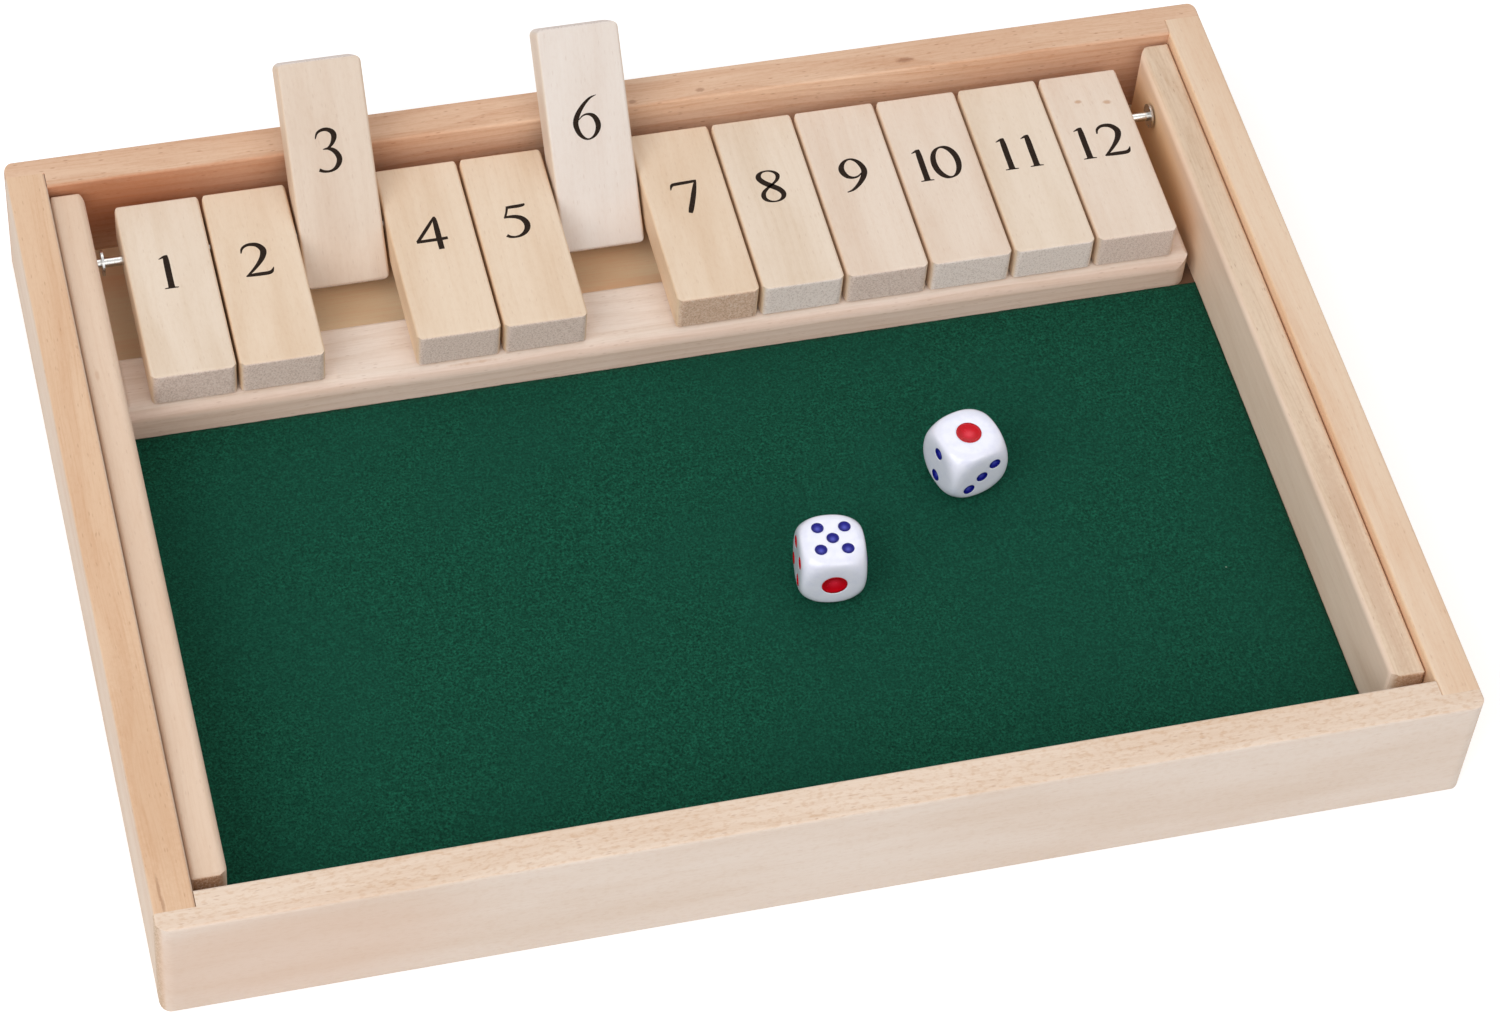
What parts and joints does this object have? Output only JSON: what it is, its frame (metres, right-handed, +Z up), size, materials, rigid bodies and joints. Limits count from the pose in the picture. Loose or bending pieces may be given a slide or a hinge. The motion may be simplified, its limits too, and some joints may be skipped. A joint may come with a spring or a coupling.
{
  "type": "shut the box game",
  "caption": "Shallow wooden tray with a felt floor, a row of hinged tiles on a steel rod along the back wall, and loose dice.",
  "frame": {"origin": "on the table, under the middle of the bounding box of the whole game as pictured, raised tiles included", "axes": "+X along the row of tiles from 1 to 12, +Y towards the back wall, +Z up"},
  "size_m": [0.314, 0.2378, 0.0572],
  "materials": {
    "tray_wood": "sanded, unvarnished",
    "tile_wood": "sanded smooth",
    "base_wood": "sanded, unvarnished",
    "felt": "matt green felt",
    "steel": "bright nickel plated",
    "dice": "glossy white"
  },
  "bodies": {
    "tray": {"front_wall": "tray_wood", "back_wall": "tray_wood", "left_wall": "tray_wood", "right_wall": "tray_wood", "base_panel": "base_wood", "playing_felt": "felt", "left_rail": "tray_wood", "right_rail": "tray_wood", "tile_rest": "tray_wood", "axle_rod": "steel", "left_washer": "steel", "right_washer": "steel"},
    "tile_1_body": {"tile_1": "tile_wood"},
    "tile_2_body": {"tile_2": "tile_wood"},
    "tile_3_body": {"tile_3": "tile_wood"},
    "tile_4_body": {"tile_4": "tile_wood"},
    "tile_5_body": {"tile_5": "tile_wood"},
    "tile_6_body": {"tile_6": "tile_wood"},
    "tile_7_body": {"tile_7": "tile_wood"},
    "tile_8_body": {"tile_8": "tile_wood"},
    "tile_9_body": {"tile_9": "tile_wood"},
    "tile_10_body": {"tile_10": "tile_wood"},
    "tile_11_body": {"tile_11": "tile_wood"},
    "tile_12_body": {"tile_12": "tile_wood"},
    "die_1_body": {"die_1": "dice"},
    "die_2_body": {"die_2": "dice"}
  },
  "joints": [
    {"name": "tile_1_tip", "type": "hinge", "parent": "tray", "child": "tile_1_body", "pos_m": [-0.12098, 0.08529, 0.02307], "axis": [-1, 0, 0], "range_deg": [0, 134.45]},
    {"name": "tile_2_tip", "type": "hinge", "parent": "tray", "child": "tile_2_body", "pos_m": [-0.09898, 0.08529, 0.02307], "axis": [-1, 0, 0], "range_deg": [0, 134.45]},
    {"name": "tile_3_tip", "type": "hinge", "parent": "tray", "child": "tile_3_body", "pos_m": [-0.07699, 0.08529, 0.02307], "axis": [-1, 0, 0], "range_deg": [-134.45, 0]},
    {"name": "tile_4_tip", "type": "hinge", "parent": "tray", "child": "tile_4_body", "pos_m": [-0.05499, 0.08529, 0.02307], "axis": [-1, 0, 0], "range_deg": [0, 134.45]},
    {"name": "tile_5_tip", "type": "hinge", "parent": "tray", "child": "tile_5_body", "pos_m": [-0.03299, 0.08529, 0.02307], "axis": [-1, 0, 0], "range_deg": [0, 134.45]},
    {"name": "tile_6_tip", "type": "hinge", "parent": "tray", "child": "tile_6_body", "pos_m": [-0.011, 0.08529, 0.02307], "axis": [-1, 0, 0], "range_deg": [-134.45, 0]},
    {"name": "tile_7_tip", "type": "hinge", "parent": "tray", "child": "tile_7_body", "pos_m": [0.011, 0.08529, 0.02307], "axis": [-1, 0, 0], "range_deg": [0, 134.45]},
    {"name": "tile_8_tip", "type": "hinge", "parent": "tray", "child": "tile_8_body", "pos_m": [0.03299, 0.08529, 0.02307], "axis": [-1, 0, 0], "range_deg": [0, 134.45]},
    {"name": "tile_9_tip", "type": "hinge", "parent": "tray", "child": "tile_9_body", "pos_m": [0.05499, 0.08529, 0.02307], "axis": [-1, 0, 0], "range_deg": [0, 134.45]},
    {"name": "tile_10_tip", "type": "hinge", "parent": "tray", "child": "tile_10_body", "pos_m": [0.07699, 0.08529, 0.02307], "axis": [-1, 0, 0], "range_deg": [0, 134.45]},
    {"name": "tile_11_tip", "type": "hinge", "parent": "tray", "child": "tile_11_body", "pos_m": [0.09898, 0.08529, 0.02307], "axis": [-1, 0, 0], "range_deg": [0, 134.45]},
    {"name": "tile_12_tip", "type": "hinge", "parent": "tray", "child": "tile_12_body", "pos_m": [0.12098, 0.08529, 0.02307], "axis": [-1, 0, 0], "range_deg": [0, 134.45]},
    {"name": "die_1_lift", "type": "slide", "parent": "tray", "child": "die_1_body", "axis": [0, 0, 1], "range_m": [0, 0.06]},
    {"name": "die_2_lift", "type": "slide", "parent": "tray", "child": "die_2_body", "axis": [0, 0, 1], "range_m": [0, 0.06]}
  ]
}
